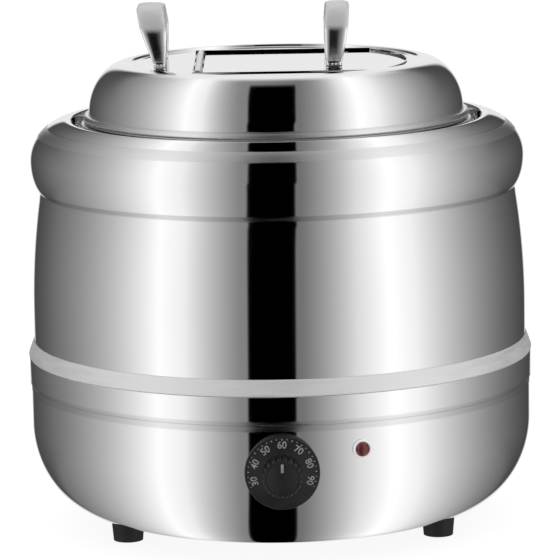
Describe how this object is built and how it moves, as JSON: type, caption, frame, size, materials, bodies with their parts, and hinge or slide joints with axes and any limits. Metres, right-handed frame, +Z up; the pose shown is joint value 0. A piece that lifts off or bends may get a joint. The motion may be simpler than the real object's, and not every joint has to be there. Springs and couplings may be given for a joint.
{
  "type": "electric soup kettle",
  "caption": "Round polished-steel electric soup kettle with a bowl-shaped base, rolled collar, lift-out pot, domed lid with a hinged flap, control knob and lamp.",
  "frame": {"origin": "on the table under the vertical axis of the casing", "axes": "+Z up; the control knob faces -Y, the cord entry faces +Y; +X is to the right when facing the controls"},
  "size_m": [0.3474, 0.39, 0.3595],
  "materials": {
    "mirror_steel": "mirror-polished stainless steel",
    "satin_band": "satin stainless steel",
    "pot_steel": "satin drawn stainless steel",
    "lamp_trim": "bright trim ring",
    "hinge_steel": "satin stainless steel",
    "zinc_fastener": "zinc-plated steel",
    "heater_aluminium": "plain sheet aluminium",
    "element_sheath": "heat-tinted steel sheath",
    "brass": "plain brass",
    "copper_tube": "copper tube",
    "silicone_seal": "white silicone",
    "thermostat_plastic": "cream heat-resistant plastic",
    "black_plastic": "black plastic",
    "pointer_white": "white inlay",
    "lamp_red": "dark red lens",
    "wire_silicone": "red-brown silicone sleeve",
    "foot_rubber": "black rubber"
  },
  "bodies": {
    "kettle_body": {"lower_shell": "mirror_steel", "waist_ring": "satin_band", "upper_shell": "mirror_steel", "collar": "mirror_steel", "well_seal": "silicone_seal", "water_well": "pot_steel", "heat_spreader": "heater_aluminium", "heating_element": "element_sheath", "heater_clamp": "zinc_fastener", "centre_stud": "zinc_fastener", "clamp_nut": "zinc_fastener", "base_washer": "zinc_fastener", "base_nut": "zinc_fastener", "thermostat_body": "thermostat_plastic", "thermostat_spacers": "brass", "thermostat_screws": "zinc_fastener", "capillary_tube": "copper_tube", "sensor_bulb": "copper_tube", "bulb_clip": "zinc_fastener", "thermal_cutout": "black_plastic", "terminal_block": "thermostat_plastic", "internal_wiring": "wire_silicone", "cord_gland": "black_plastic", "gland_locknut": "black_plastic", "lamp_bezel": "lamp_trim", "lamp_lens": "lamp_red", "lamp_body": "black_plastic", "lamp_nut": "black_plastic", "foot_left": "foot_rubber", "foot_right": "foot_rubber", "foot_rear": "foot_rubber", "foot_screws": "zinc_fastener", "foot_nuts": "zinc_fastener"},
    "knob": {"control_knob": "black_plastic", "knob_pointer": "pointer_white", "thermostat_shaft": "brass"},
    "pot": {"soup_pot": "pot_steel"},
    "lid": {"lid_shell": "mirror_steel", "lid_handle": "mirror_steel", "lid_handle_rivets": "hinge_steel", "hinge_leaf_fixed": "hinge_steel", "hinge_pin": "hinge_steel"},
    "flap": {"lid_flap": "mirror_steel", "hinge_leaf_moving": "hinge_steel", "flap_handle": "mirror_steel", "flap_handle_rivets": "hinge_steel"}
  },
  "joints": [
    {"name": "knob_turn", "type": "hinge", "parent": "kettle_body", "child": "knob", "pos_m": [0, -0.18, 0.0705], "axis": [0, 1, 0], "range_deg": [0, 270]},
    {"name": "pot_lift", "type": "slide", "parent": "kettle_body", "child": "pot", "axis": [0, 0, 1], "range_m": [0, 0.25]},
    {"name": "lid_lift", "type": "slide", "parent": "pot", "child": "lid", "axis": [0, 0, 1], "range_m": [0, 0.25]},
    {"name": "flap_hinge", "type": "hinge", "parent": "lid", "child": "flap", "pos_m": [-0.052, 0, 0.3181], "axis": [0, -1, 0], "range_deg": [0, 110]}
  ]
}
